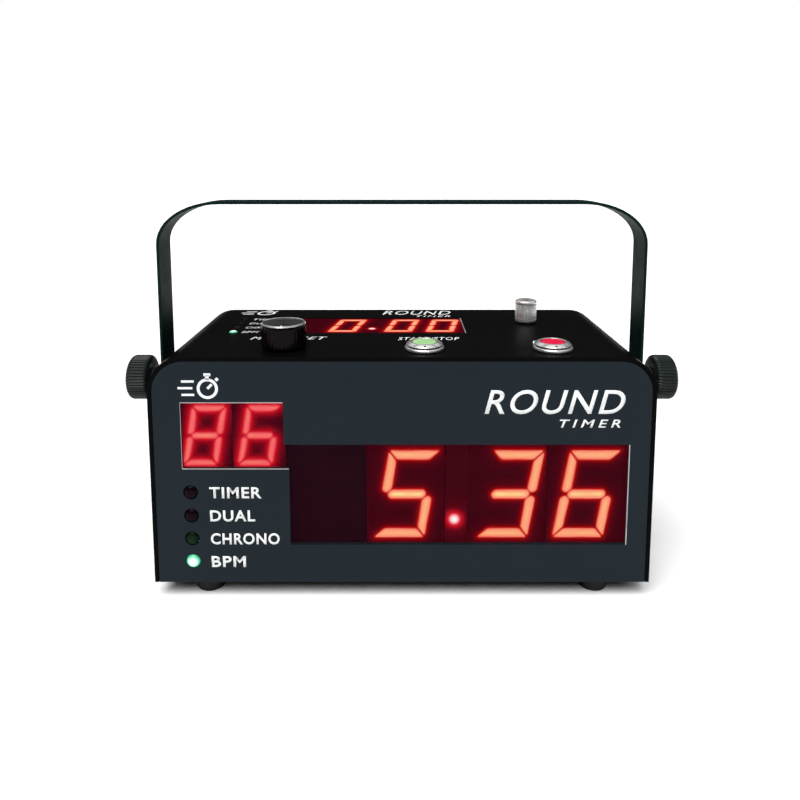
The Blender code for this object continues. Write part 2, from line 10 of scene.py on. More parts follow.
import bmesh
import bpy
import numpy as np
from mathutils import Matrix, Vector

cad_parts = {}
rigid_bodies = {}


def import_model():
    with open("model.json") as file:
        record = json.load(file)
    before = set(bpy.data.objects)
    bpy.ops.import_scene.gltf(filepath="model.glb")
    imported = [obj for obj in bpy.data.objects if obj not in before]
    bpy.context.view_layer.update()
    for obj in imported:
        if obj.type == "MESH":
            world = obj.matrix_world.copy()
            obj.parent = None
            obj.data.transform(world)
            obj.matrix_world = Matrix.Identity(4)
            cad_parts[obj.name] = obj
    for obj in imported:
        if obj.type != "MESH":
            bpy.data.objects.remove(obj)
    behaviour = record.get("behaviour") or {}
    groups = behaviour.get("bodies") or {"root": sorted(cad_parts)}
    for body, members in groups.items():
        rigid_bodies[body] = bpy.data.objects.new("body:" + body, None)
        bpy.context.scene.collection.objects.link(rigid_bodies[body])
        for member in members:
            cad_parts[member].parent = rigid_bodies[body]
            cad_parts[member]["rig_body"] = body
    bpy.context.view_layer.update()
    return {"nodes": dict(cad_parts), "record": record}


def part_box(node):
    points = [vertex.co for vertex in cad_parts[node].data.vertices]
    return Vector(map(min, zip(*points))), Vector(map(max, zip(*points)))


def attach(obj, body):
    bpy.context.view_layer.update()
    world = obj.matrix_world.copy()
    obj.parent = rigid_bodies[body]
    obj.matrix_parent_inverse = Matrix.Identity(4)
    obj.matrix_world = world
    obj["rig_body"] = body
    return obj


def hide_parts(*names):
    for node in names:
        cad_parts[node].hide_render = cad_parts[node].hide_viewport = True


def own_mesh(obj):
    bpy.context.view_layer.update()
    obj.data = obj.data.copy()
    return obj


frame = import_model()
NODES = frame["nodes"]

mm = 0.001

# The gap round each window, where its polished edge shows and a highlight is painted along it
WINDOW_GAP = 0.3 * mm

# Seven-segment figures: the segments are a (top), then clockwise b to f, and g (middle)
SEGMENTS_OF = {"0": "abcdef", "3": "abcdg", "5": "acdfg", "6": "acdefg", "8": "abcdefg", " ": ""}
LEAN = math.tan(math.radians(10))

# Each kind of figure's width, height, stroke, gap between segments and rounding of corners
FIGURE_SIZES = {
    "large": (25.6 * mm, 45.8 * mm, 4.7 * mm, 0.85 * mm, 1.0 * mm),
    "small": (17.4 * mm, 31.2 * mm, 3.1 * mm, 0.60 * mm, 2.0 * mm),
    "deck": (15.8 * mm, 30 * mm, 3.3 * mm, 0.6 * mm, 0.5 * mm),
}

# A lit segment's rings from its foot inwards: share of the stroke, share of the rise, and glow
SEGMENT_RINGS = ((0, 0, 0), (0, 1, 0), (0.14, 1, 0.40), (0.28, 1, 0.75), (0.38, 1, 1.0))
SEGMENT_RISE = 0.12 * mm
SIDE_GLOW = 0.78

# How far the light of a figure spreads over its face, and how bright the face is
HALO_REACH = {"large": 1.5 * mm, "small": 2.3 * mm, "deck": 1.7 * mm}
HALO_PEAK = 1.05
UNLIT_SHADE = 0.85
BLANK_GLOW = 0.6
FACE_STANDOFF = 0.03 * mm

SCREW_RADIUS = 2.8 * mm
SCREW_RISE = 0.9 * mm
SCREW_SINK = 0.1 * mm
KNOB_BORE = 3.3 * mm
CAP_DROP = 0.45 * mm

# The height of a capital in Blender's own typeface, as a share of the text's size
CAP_SHARE = 0.729
WHITE_INK = (0.86, 0.88, 0.88)

CAMERA_AT = (-0.001, -0.3855, 0.2190)
CAMERA_PITCH = 7.0
CAMERA_LENS = 31.43
CAMERA_SHIFT = -0.19


# ---------------------------------------------------------------- materials


class Finish:
    """A Principled material whose colour, roughness and relief come from nodes."""

    def __init__(self, name, **sockets):
        self.material = bpy.data.materials.new(name)
        self.material.use_nodes = True
        self.tree = self.material.node_tree
        self.shader = self.tree.nodes["Principled BSDF"]
        for socket, value in sockets.items():
            self.shader.inputs[socket.replace("_", " ")].default_value = value

    def node(self, kind, **settings):
        made = self.tree.nodes.new(kind)
        for key, value in settings.items():
            setattr(made, key, value)
        return made

    def link(self, source, target):
        self.tree.links.new(source, target)

    def place(self, stretch=(1, 1, 1)):
        """The object's own coordinates, stretched for a grain that has a direction."""
        mapping = self.node("ShaderNodeMapping")
        mapping.inputs["Scale"].default_value = stretch
        self.link(self.node("ShaderNodeTexCoord").outputs["Object"], mapping.inputs["Vector"])
        return mapping.outputs["Vector"]

    def noise(self, size, detail=3, stretch=(1, 1, 1)):
        """A cloudy pattern whose patches are about size across."""
        made = self.node("ShaderNodeTexNoise")
        made.inputs["Scale"].default_value = 1 / size
        made.inputs["Detail"].default_value = detail
        self.link(self.place(stretch), made.inputs["Vector"])
        return made.outputs["Fac"]

    def ramp(self, factor, *stops):
        """Colours or greys along a factor, as (position, value) stops."""
        made = self.node("ShaderNodeValToRGB")
        points = made.color_ramp.elements
        while len(points) < len(stops):
            points.new(0.5)
        for point, (position, value) in zip(points, stops):
            point.position = position
            point.color = (*value, 1) if isinstance(value, tuple) else (value, value, value, 1)
        self.link(factor, made.inputs["Fac"])
        return made.outputs["Color"]

    def blend(self, factor, base, other):
        """The base pattern turned towards another plain colour by a factor."""
        made = self.node("ShaderNodeMix", data_type="RGBA")
        self.link(factor, made.inputs[0])
        self.link(base, made.inputs[6])
        made.inputs[7].default_value = (*other, 1)
        return made.outputs[2]

    def colour(self, source):
        self.link(source, self.shader.inputs["Base Color"])

    def roughness(self, source):
        self.link(source, self.shader.inputs["Roughness"])

    def relief(self, height, depth):
        """Bumps of the given depth in metres from a height pattern. Calls add up."""
        bump = self.node("ShaderNodeBump")
        bump.inputs["Distance"].default_value = depth
        bump.inputs["Strength"].default_value = 1.0
        self.link(height, bump.inputs["Height"])
        normal = self.shader.inputs["Normal"]
        if normal.is_linked:
            self.link(normal.links[0].from_socket, bump.inputs["Normal"])
        self.link(bump.outputs["Normal"], normal)


def textured(name, dark, light, rough, patch, grain, depth, stretch=(1, 1, 1), **sockets):
    """A finish with a soft change of colour and roughness over patches, and a fine grain."""
    finish = Finish(name, **sockets)
    cloud = finish.noise(patch)
    finish.colour(finish.ramp(cloud, (0.3, dark), (0.7, light)))
    finish.roughness(finish.ramp(finish.noise(patch * 0.4, 4), (0.3, rough[0]), (0.7, rough[1])))
    finish.relief(finish.noise(grain, 2, stretch), depth)
    return finish


def worn(finish, bare, amount, reach=0.7 * mm):
    """A paler colour within reach of a piece's edges, where hands and tables rub it.

    Near an edge the rounded normal turns away from the true one, so their product falls below 1.
    """
    rounded = finish.node("ShaderNodeBevel", samples=4)
    rounded.inputs["Radius"].default_value = reach
    turned_by = finish.node("ShaderNodeVectorMath", operation="DOT_PRODUCT")
    finish.link(rounded.outputs["Normal"], turned_by.inputs[0])
    finish.link(finish.node("ShaderNodeNewGeometry").outputs["Normal"], turned_by.inputs[1])
    edge = finish.ramp(turned_by.outputs["Value"], (0.80, amount), (0.98, 0.0))
    cloud = finish.ramp(finish.noise(4 * mm, 5), (0.42, 0.0), (0.62, 1.0))
    both = finish.node("ShaderNodeMath", operation="MULTIPLY")
    finish.link(edge, both.inputs[0])
    finish.link(cloud, both.inputs[1])
    source = finish.shader.inputs["Base Color"].links[0].from_socket
    finish.colour(finish.blend(both.outputs[0], source, bare))
    return finish


def make_materials():
    """Every material of the object, by the name that pieces ask for."""
    finishes = {**coats(), **mouldings(), **metals(), **lamp_lenses(), **display_lights()}
    return {name: finish.material for name, finish in finishes.items()}


def coats():
    """The coats of the casing and handle, the ink on them, and the painted highlight on the window edges."""
    coat = textured(
        "powder_coat", (0.0018, 0.0018, 0.0019), (0.0021, 0.0021, 0.0022), (0.32, 0.37),
        30 * mm, 0.45 * mm, 0.015 * mm, Specular_IOR_Level=0.02,
    )
    slate = textured(
        "slate_facia", (0.0106, 0.0165, 0.0219), (0.0114, 0.0177, 0.0233), (0.40, 0.48),
        25 * mm, 0.25 * mm, 0.006 * mm, Specular_IOR_Level=0.06,
    )
    paint = textured(
        "handle_paint", (0.0028, 0.0115, 0.0108), (0.0040, 0.0142, 0.0135), (0.42, 0.52),
        18 * mm, 0.5 * mm, 0.012 * mm, Specular_IOR_Level=0.025,
    )
    ink = Finish("white_ink", Roughness=0.5)
    dimmed = tuple(0.9 * part for part in WHITE_INK)
    ink.colour(ink.ramp(ink.noise(1.2 * mm), (0.3, dimmed), (0.7, WHITE_INK)))
    ink.relief(ink.noise(0.3 * mm), 0.004 * mm)
    # A light line painted where a window's polished edge catches the light: a painted highlight
    line = Finish("edge_highlight", Roughness=0.35)
    line.colour(line.ramp(line.noise(5 * mm), (0.3, (0.30, 0.26, 0.26)), (0.7, (0.48, 0.43, 0.43))))
    return {
        "coat": worn(coat, (0.012, 0.012, 0.013), 0.4), "slate": slate,
        "paint": worn(paint, (0.018, 0.026, 0.026), 0.3), "ink": ink, "edge_highlight": line,
    }


def mouldings():
    """Plastics, rubber, circuit board, speaker paper and washer fibre."""
    made = {"pane": pane_finish()}
    made["back"] = textured(
        "moulded_back", (0.0060, 0.0060, 0.0062), (0.0085, 0.0085, 0.0088), (0.50, 0.62),
        20 * mm, 0.6 * mm, 0.05 * mm, Specular_IOR_Level=0.3,
    )
    made["rubber"] = textured(
        "foot_rubber", (0.0030, 0.0030, 0.0030), (0.0050, 0.0050, 0.0050), (0.38, 0.55),
        6 * mm, 0.5 * mm, 0.03 * mm, Specular_IOR_Level=0.2,
    )
    knob = textured(
        "clamp_plastic", (0.0035, 0.0062, 0.0060), (0.0060, 0.0100, 0.0095), (0.28, 0.38),
        5 * mm, 0.4 * mm, 0.01 * mm, Specular_IOR_Level=0.25,
    )
    made["clamp"] = worn(knob, (0.040, 0.060, 0.057), 0.5)
    made["gloss"] = textured(
        "gloss_plastic", (0.0028, 0.0015, 0.0018), (0.0040, 0.0022, 0.0026), (0.10, 0.20),
        8 * mm, 0.8 * mm, 0.003 * mm, Specular_IOR_Level=0.06,
    )
    made["board"] = textured(
        "solder_mask", (0.005, 0.035, 0.012), (0.010, 0.065, 0.022), (0.25, 0.40),
        12 * mm, 0.8 * mm, 0.02 * mm,
    )
    made["cone"] = textured(
        "speaker_paper", (0.010, 0.010, 0.010), (0.020, 0.020, 0.019), (0.65, 0.85),
        6 * mm, 0.35 * mm, 0.05 * mm,
    )
    made["fibre"] = textured(
        "washer_fibre", (0.008, 0.008, 0.008), (0.016, 0.015, 0.014), (0.6, 0.8),
        2 * mm, 0.3 * mm, 0.04 * mm,
    )
    made["green_cap"] = textured(
        "green_cap", (0.31, 0.55, 0.235), (0.36, 0.62, 0.275), (0.34, 0.46),
        4 * mm, 0.35 * mm, 0.006 * mm, Specular_IOR_Level=0.2,
    )
    made["red_cap"] = textured(
        "red_cap", (0.64, 0.004, 0.042), (0.74, 0.007, 0.058), (0.34, 0.46),
        4 * mm, 0.35 * mm, 0.006 * mm, Specular_IOR_Level=0.15,
    )
    made["module"] = textured(
        "module_case", (0.0085, 0.0012, 0.0025), (0.0120, 0.0018, 0.0035), (0.45, 0.6),
        12 * mm, 0.5 * mm, 0.01 * mm, Specular_IOR_Level=0.2,
    )
    return made


def metals():
    made = {}
    made["steel"] = textured(
        "zinc_steel", (0.42, 0.43, 0.44), (0.58, 0.58, 0.59), (0.26, 0.36),
        5 * mm, 0.25 * mm, 0.001 * mm, Metallic=1.0,
    )
    made["nickel"] = textured(
        "polished_nickel", (0.74, 0.74, 0.73), (0.86, 0.86, 0.85), (0.20, 0.28),
        6 * mm, 0.5 * mm, 0.001 * mm, Metallic=0.85,
    )
    made["satin_top"] = turned_metal(
        "satin_top", (0.032, 0.029, 0.030), (0.062, 0.058, 0.059), (0.32, 0.42)
    )
    made["aluminium"] = turned_metal(
        "turned_aluminium", (0.66, 0.65, 0.63), (0.78, 0.77, 0.75), (0.26, 0.34)
    )
    return made


def lamp_lenses():
    return {
        "lens_red": lens_finish("lens_red", (0.0022, 0.0006, 0.0016), (0.0060, 0.0010, 0.0030)),
        "lens_green": lens_finish("lens_green", (0.0010, 0.0034, 0.0016), (0.0040, 0.0190, 0.0070)),
        "lens_lit": glowing(
            "lens_lit", (0.0, (0.020, 0.36, 0.16)), (0.25, (0.10, 0.70, 0.38)),
            (0.50, (0.42, 0.95, 0.70)), (0.72, (1.0, 1.0, 1.0)), Roughness=0.15, Emission_Strength=1.1,
        ),
    }


def display_lights():
    """The displays' glowing faces, and the lit segments and points on them."""
    made = {}
    faces = {
        "large": (
            (0.0, (0.046, 0.0003, 0.0040)), (0.12, (0.080, 0.0004, 0.0050)),
            (0.50, (0.26, 0.0008, 0.0030)), (0.85, (0.62, 0.0080, 0.0040)), (1.0, (0.90, 0.040, 0.012)),
        ),
        "small": (
            (0.0, (0.026, 0.0004, 0.0044)), (0.12, (0.080, 0.0005, 0.0062)),
            (0.45, (0.36, 0.0015, 0.0110)), (0.80, (0.72, 0.0060, 0.0200)), (1.0, (0.95, 0.030, 0.040)),
        ),
        "blank": ((0.0, (0.0050, 0.0012, 0.0040)), (1.0, (0.0080, 0.0014, 0.0050))),
        "point": (
            (0.0, (0.050, 0.0006, 0.0040)), (0.25, (0.130, 0.0010, 0.0070)),
            (0.60, (0.62, 0.0030, 0.0160)), (0.90, (0.95, 0.030, 0.060)), (1.0, (1.0, 0.30, 0.30)),
        ),
    }
    for name, stops in faces.items():
        made[f"face_{name}"] = glowing(f"face_{name}", *stops, Roughness=0.6, Specular_IOR_Level=0.0)
    made["lit_large"] = glowing(
        "lit_large", (0.0, (0.82, 0.055, 0.045)), (0.35, (1.0, 0.27, 0.15)), (0.75, (1.0, 0.42, 0.18)),
        (1.0, (1.0, 0.74, 0.27)), tint=(1.0, 0.34, 0.19), Roughness=0.5, Emission_Strength=1.25,
    )
    made["lit_small"] = glowing(
        "lit_small", (0.0, (0.80, 0.020, 0.040)), (0.5, (1.0, 0.10, 0.11)), (1.0, (1.0, 0.25, 0.15)),
        tint=(1.0, 0.09, 0.13), Roughness=0.5, Emission_Strength=1.15,
    )
    made["lit_point"] = glowing(
        "lit_point", (0.0, (1.0, 0.20, 0.22)), (0.4, (1.0, 0.55, 0.55)), (0.8, (1.0, 0.95, 0.95)),
        Roughness=0.5, Emission_Strength=1.25,
    )
    return made


def pane_finish():
    """Smoked red acrylic, thin enough in tint that the figures behind it stay bright."""
    pane = Finish("smoked_pane", Alpha=0.14, Specular_IOR_Level=0.08)
    tint = pane.ramp(pane.noise(30 * mm), (0.3, (0.010, 0.0010, 0.0018)), (0.7, (0.016, 0.0012, 0.0024)))
    pane.colour(tint)
    pane.roughness(pane.ramp(pane.noise(12 * mm, 4), (0.35, 0.05), (0.7, 0.12)))
    pane.material.surface_render_method = "BLENDED"
    return pane


def turned_metal(name, dark, light, rough):
    """Metal faced on a lathe: fine rings about the piece's own axis."""
    finish = Finish(name, Metallic=0.75, Anisotropic=0.6)
    rings = finish.node("ShaderNodeTexWave", wave_type="RINGS", rings_direction="Z")
    rings.inputs["Scale"].default_value = 900
    rings.inputs["Distortion"].default_value = 0.4
    finish.link(finish.place(), rings.inputs["Vector"])
    finish.colour(finish.ramp(rings.outputs["Fac"], (0.2, dark), (0.8, light)))
    finish.roughness(finish.ramp(finish.noise(2 * mm, 4), (0.3, rough[0]), (0.7, rough[1])))
    finish.relief(finish.noise(0.5 * mm, 2, (1, 1, 0.1)), 0.002 * mm)
    return finish


def lens_finish(name, dark, light):
    """An unlit lamp: dark moulded epoxy, a little lighter over its chip."""
    finish = Finish(name, Specular_IOR_Level=0.04)
    glow = finish.node("ShaderNodeAttribute", attribute_name="glow").outputs["Fac"]
    finish.colour(finish.ramp(glow, (0.1, dark), (0.9, light)))
    finish.roughness(finish.ramp(finish.noise(1.5 * mm), (0.3, 0.14), (0.7, 0.24)))
    return finish


def glowing(name, *stops, tint=None, **sockets):
    """A lit surface that follows the mesh's own glow value, from 0 to 1, with patches of a tint."""
    finish = Finish(name, **{"Emission_Strength": 1.0, **sockets})
    glow = finish.node("ShaderNodeAttribute", attribute_name="glow").outputs["Fac"]
    light = finish.ramp(glow, *stops)
    if tint:
        patches = finish.ramp(finish.noise(9 * mm, 1), (0.35, 0.0), (0.65, 0.55))
        light = finish.blend(patches, light, tint)
    finish.link(light, finish.shader.inputs["Emission Color"])
    grain = finish.noise(0.7 * mm, 4)
    finish.colour(finish.ramp(grain, (0.3, (0.008, 0.0006, 0.0014)), (0.7, (0.011, 0.0008, 0.0018))))
    return finish


# ---------------------------------------------------------------- making pieces


def span(node):
    """A node's lowest and highest corners, and its centre."""
    low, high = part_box(node)
    return low, high, (low + high) / 2


def centre_of(node):
    return span(node)[2]


def body_of(node):
    return NODES[node].get("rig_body")


def add(name, mesh, finish, body, slot=None, stands_for=(), at=(0, 0, 0), along=(0, 0, 1)):
    """Put a mesh in the scene as one piece that rides on a body."""
    piece = bpy.data.objects.new(name, mesh)
    bpy.context.scene.collection.objects.link(piece)
    piece.location = at
    piece.rotation_euler = Vector((0, 0, 1)).rotation_difference(Vector(along)).to_euler()
    mesh.materials.clear()
    mesh.materials.append(finish)
    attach(piece, body)
    if stands_for:
        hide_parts(*stands_for)
    return piece


def smooth(mesh, degrees=35):
    mesh.shade_smooth()
    mesh.set_sharp_from_angle(angle=math.radians(degrees))


def flat_mesh(form, name):
    """The mesh of a form, flat shaded. The form is let go."""
    mesh = bpy.data.meshes.new(name)
    form.to_mesh(mesh)
    form.free()
    return mesh


def mesh_of(form, name, degrees=35):
    mesh = flat_mesh(form, name)
    smooth(mesh, degrees)
    return mesh


def fillet(points, radius, steps=4):
    """Round the corners of an open line of points."""
    rounded = [Vector(points[0])]
    for before, corner, after in zip(points, points[1:], points[2:]):
        before, corner, after = Vector(before), Vector(corner), Vector(after)
        back, ahead = before - corner, after - corner
        reach = min(radius, back.length * 0.48, ahead.length * 0.48)
        start, end = corner + back.normalized() * reach, corner + ahead.normalized() * reach
        for step in range(steps + 1):
            t = step / steps
            rounded.append(start * (1 - t) ** 2 + corner * 2 * t * (1 - t) + end * t**2)
    rounded.append(Vector(points[-1]))
    return rounded


def revolve(name, profile, sides=96, shape=None, glow=None):
    """A turned mesh from (radius, height) points, top to bottom on the outside.

    shape(radius, height, angle) changes the radius, as for flutes; glow(radius, height) sets light.
    """
    form = bmesh.new()
    light = form.verts.layers.float.new("glow")
    rings = []
    for radius, height in profile:
        count = sides if radius > 1e-6 else 1
        ring = []
        for index in range(count):
            angle = math.tau * index / sides
            shown = shape(radius, height, angle) if shape and count > 1 else radius
            vert = form.verts.new((shown * math.cos(angle), shown * math.sin(angle), height))
            vert[light] = glow(radius, height) if glow else 0.0
            ring.append(vert)
        rings.append(ring)
    for upper, lower in zip(rings, rings[1:]):
        for index in range(sides):
            following = (index + 1) % sides
            corners = [upper[index % len(upper)], lower[index % len(lower)]]
            corners += [lower[following % len(lower)], upper[following % len(upper)]]
            unique = list(dict.fromkeys(corners))
            if len(unique) > 2:
                form.faces.new(unique)
    bmesh.ops.recalc_face_normals(form, faces=form.faces[:])
    return mesh_of(form, name)


def turned(name, profile, sides, finish, body, slot, stands_for, at, along=(0, 0, 1), **rules):
    """A piece turned on a lathe. The rules are the shape and glow that revolve takes."""
    return add(name, revolve(name, profile, sides, **rules), finish, body, slot, stands_for, at, along)


def refined(node, name, finish, bevel, segments=3):
    """A piece with the shape of a CAD node, its sharp edges broken by a small bevel."""
    form = bmesh.new()
    form.from_mesh(NODES[node].data)
    bmesh.ops.remove_doubles(form, verts=form.verts[:], dist=0.005 * mm)
    bmesh.ops.dissolve_limit(
        form, angle_limit=math.radians(0.5), verts=form.verts[:], edges=form.edges[:],
        use_dissolve_boundaries=False,
    )
    bmesh.ops.recalc_face_normals(form, faces=form.faces[:])
    piece = add(name, mesh_of(form, name), finish, body_of(node), slot_of(node), [node])
    rounding = piece.modifiers.new("Edges", "BEVEL")
    rounding.width = bevel
    rounding.segments = segments
    rounding.limit_method = "ANGLE"
    rounding.angle_limit = math.radians(40)
    rounding.harden_normals = True
    rounding.use_clamp_overlap = True
    return piece


def slot_of(node):
    for entry in frame["record"]["subparts"]:
        if entry["node"] == node:
            return entry["material_slot"]
    return None


# ---------------------------------------------------------------- lettering


def word(text, cap, spacing=1.0, lean=0.0, weight=0.0):
    """A word as flat outlines in its own (x, y) plane, with capitals of the given height."""
    curve = bpy.data.curves.new("word", "FONT")
    curve.body = text
    curve.size = cap / CAP_SHARE
    curve.shear = lean
    curve.offset = weight * cap
    curve.space_character = spacing
    curve.resolution_u = 5
    curve.fill_mode = "FRONT"
    holder = bpy.data.objects.new("word", curve)
    bpy.context.scene.collection.objects.link(holder)
    graph = bpy.context.evaluated_depsgraph_get()
    mesh = bpy.data.meshes.new_from_object(holder.evaluated_get(graph))
    bpy.data.objects.remove(holder)
    bpy.data.curves.remove(curve)
    return mesh


class Print:
    """Ink or a painted highlight on one face of the casing: words and shapes gathered into one piece."""

    THICK = 0.03 * mm

    def __init__(self, name, to_face):
        self.name = name
        self.form = bmesh.new()
        self.to_face = to_face

    def mesh(self, mesh, x, y, turn=0.0):
        move = Matrix.Translation((x, y, 0)) @ Matrix.Rotation(turn, 4, "Z")
        mesh.transform(self.to_face @ move)
        self.form.from_mesh(mesh)
        bpy.data.meshes.remove(mesh)

    def text(self, text, x, y, cap, width, **style):
        """A word from its lower left corner, with its capital height and its width given."""
        mesh = word(text, cap, **style)
        left = min(vert.co.x for vert in mesh.vertices)
        right = max(vert.co.x for vert in mesh.vertices)
        stretch = Matrix.Diagonal((width / (right - left), 1, 1, 1))
        mesh.transform(stretch @ Matrix.Translation((-left, 0, 0)))
        self.mesh(mesh, x, y)

    def outline(self, points, holes=()):
        """A filled outline with holes, as lists of (x, y) points."""
        part = bmesh.new()
        edges = []
        for loop in [points, *holes]:
            verts = [part.verts.new((x, y, 0)) for x, y in loop]
            edges += [part.edges.new((a, b)) for a, b in zip(verts, verts[1:] + verts[:1])]
        bmesh.ops.triangle_fill(part, edges=edges, use_beauty=True)
        self.mesh(flat_mesh(part, "shape"), 0, 0)

    def finish(self, finish, body, slot):
        """Give the ink or painted highlight its thickness and put it in the scene."""
        bmesh.ops.remove_doubles(self.form, verts=self.form.verts[:], dist=0.002 * mm)
        outward = self.to_face.to_3x3() @ Vector((0, 0, 1))
        for face in self.form.faces:
            face.normal_update()
            if face.normal.dot(outward) < 0:
                face.normal_flip()
        grown = bmesh.ops.extrude_face_region(self.form, geom=self.form.faces[:])["geom"]
        raised = [item for item in grown if isinstance(item, bmesh.types.BMVert)]
        bmesh.ops.translate(self.form, vec=outward * self.THICK, verts=raised)
        bmesh.ops.recalc_face_normals(self.form, faces=self.form.faces[:])
        return add(self.name, flat_mesh(self.form, self.name), finish, body, slot)


def circle(x, y, radius, sides=40):
    angles = [math.tau * index / sides for index in range(sides)]
    return [(x + radius * math.cos(angle), y + radius * math.sin(angle)) for angle in angles]


def bar(x0, y0, x1, y1, half):
    """The four corners of a straight stroke between two points."""
    along = Vector((x1 - x0, y1 - y0)).normalized() * half
    side = Vector((-along.y, along.x))
    start, end = Vector((x0, y0)), Vector((x1, y1))
    return [tuple(corner) for corner in (start - side, end - side, end + side, start + side)]


def stopwatch_mark(ink, x, y, size, lean=0.0):
    """A plain stopwatch sign: a ring, its crown, one hand, and three lines of speed to its left."""
    stroke = size * 0.055
    radius = size * 0.40

    def leant(points):
        return [(px + lean * (py - y), py) for px, py in points]

    low = y - size * 0.06
    top = low + radius
    crown = top + size * 0.14
    ink.outline(leant(circle(x, low, radius)), [leant(circle(x, low, radius - 2 * stroke))])
    ink.outline(leant(bar(x, top - stroke, x, top + size * 0.12, size * 0.07)))
    ink.outline(leant(bar(x - size * 0.13, crown, x + size * 0.13, crown, stroke)))
    ink.outline(leant(bar(x, low, x + radius * 0.42, low + radius * 0.42, stroke * 0.9)))
    ink.outline(leant(bar(x + radius * 0.80, low + radius * 0.80, x + radius, top, size * 0.06)))
    for rise, start, end in ((0.22, -0.98, -0.50), (-0.04, -1.12, -0.56), (-0.30, -0.98, -0.50)):
        level = y + size * rise
        ink.outline(leant(bar(x + size * start, level, x + size * end, level, stroke * 0.8)))


# ---------------------------------------------------------------- seven-segment displays


def segment_outlines(width, height, thick, gap, soft):
    """The seven segments of an upright figure from its lower left corner, as (x, y) outlines.

    soft is how far from each corner its rounding starts.
    """
    mid, half, cut = height / 2, thick / 2, gap / 2
    right, top = width, height
    mitre = thick * 0.92
    shapes = {
        "a": [(cut, top), (right - cut, top), (right - mitre - cut, top - thick), (mitre + cut, top - thick)],
        "d": [(cut, 0), (mitre + cut, thick), (right - mitre - cut, thick), (right - cut, 0)],
        "g": [
            (half + cut * 1.6, mid), (thick * 0.95, mid + half), (right - thick * 0.95, mid + half),
            (right - half - cut * 1.6, mid), (right - thick * 0.95, mid - half), (thick * 0.95, mid - half),
        ],
        "f": [
            (0, top - gap), (mitre, top - thick - gap), (thick, mid + half + cut),
            (half, mid + cut * 1.6), (0, mid + half * 0.9),
        ],
        "e": [
            (0, gap), (0, mid - half * 0.9), (half, mid - cut * 1.6),
            (thick, mid - half - cut), (mitre, thick + gap),
        ],
    }
    shapes["b"] = [(width - x, y) for x, y in reversed(shapes["f"])]
    shapes["c"] = [(width - x, y) for x, y in reversed(shapes["e"])]
    for key, points in shapes.items():
        shapes[key] = fillet([points[-1], *points, points[0]], soft, 2)[1:-1]
    return shapes


def away_from(points, outlines):
    """How far each point is from the nearest of some filled outlines, 0 inside them."""
    nearest = np.full(len(points), 1.0)
    for outline in outlines:
        starts = np.array(outline)
        ends = np.roll(starts, -1, axis=0)
        crossings = np.zeros(len(points), int)
        reach = np.full(len(points), 1.0)
        for start, end in zip(starts, ends):
            run = end - start
            share = np.clip((points - start) @ run / (run @ run), 0, 1)
            reach = np.minimum(reach, np.linalg.norm(points - (start + share[:, None] * run), axis=1))
            if start[1] != end[1]:
                between = (start[1] > points[:, 1]) != (end[1] > points[:, 1])
                level = start[0] + (points[:, 1] - start[1]) * run[0] / run[1]
                crossings += between & (points[:, 0] < level)
        reach[crossings % 2 == 1] = 0
        nearest = np.minimum(nearest, reach)
    return nearest


def placed(size, keys, origin):
    """The outlines of some segments of a leaning figure, from its lower left corner."""
    outlines = segment_outlines(*size)
    return [[(origin[0] + x, origin[1] + y) for x, y in lean_over(outlines[key])] for key in keys]


def lean_over(points):
    return [(x + LEAN * y, y) for x, y in points]


def glow_sheet(name, low, high, to_face, light, finish, cell=0.7 * mm):
    """A fine flat grid over a module's face. light(points) gives its glow, from 0 to 1."""
    across = max(2, round((high[0] - low[0]) / cell))
    up = max(2, round((high[1] - low[1]) / cell))
    xs, ys = np.linspace(low[0], high[0], across + 1), np.linspace(low[1], high[1], up + 1)
    grid = np.stack(np.meshgrid(xs, ys), axis=-1).reshape(-1, 2)
    points = [tuple(to_face @ Vector((x, y, 0))) for x, y in grid]
    row = across + 1
    firsts = [j * row + i for j in range(up) for i in range(across)]
    mesh = bpy.data.meshes.new(name)
    mesh.from_pydata(points, [], [(first, first + 1, first + row + 1, first + row) for first in firsts])
    values = mesh.attributes.new("glow", "FLOAT", "POINT")
    values.data.foreach_set("value", np.clip(light(grid), 0, 1).astype(np.float32))
    return add(name, mesh, finish, "casing", "display_module")


def figure(name, keys, outlines, thick, to_face, finish):
    """Lit segments, a little proud of their face and brightest along the middle."""
    form = bmesh.new()
    light = form.verts.layers.float.new("glow")
    for key, outline in zip(keys, outlines):
        upright = np.array([(x - LEAN * y, y) for x, y in outline])
        low, high = upright.min(axis=0), upright.max(axis=0)
        middle, peak = (low + high) / 2, 1.0 if key == "g" else SIDE_GLOW
        rings = []
        for inset, rise, glow in SEGMENT_RINGS:
            shrunk = middle + (upright - middle) * (1 - 2 * inset * thick / (high - low))
            points = [Vector((x, y, rise * SEGMENT_RISE)) for x, y in lean_over(shrunk)]
            ring = [form.verts.new(to_face @ point) for point in points]
            for vert in ring:
                vert[light] = glow * peak
            rings.append(ring)
        for outer, inner in zip(rings, rings[1:]):
            for index in range(len(outer)):
                form.faces.new([outer[index - 1], outer[index], inner[index], inner[index - 1]])
        form.faces.new(rings[0])
        form.faces.new(rings[-1])
    bmesh.ops.recalc_face_normals(form, faces=form.faces[:])
    return add(name, flat_mesh(form, name), finish, "casing", "display_module")


def front_face(y):
    """From (x, z, outward) on an upright face at y to the frame."""
    return Matrix(((1, 0, 0, 0), (0, 0, -1, y), (0, 1, 0, 0), (0, 0, 0, 1)))


def deck_face(z):
    """From (x, y, outward) on a level face at z to the frame."""
    return Matrix.Translation((0, 0, z))


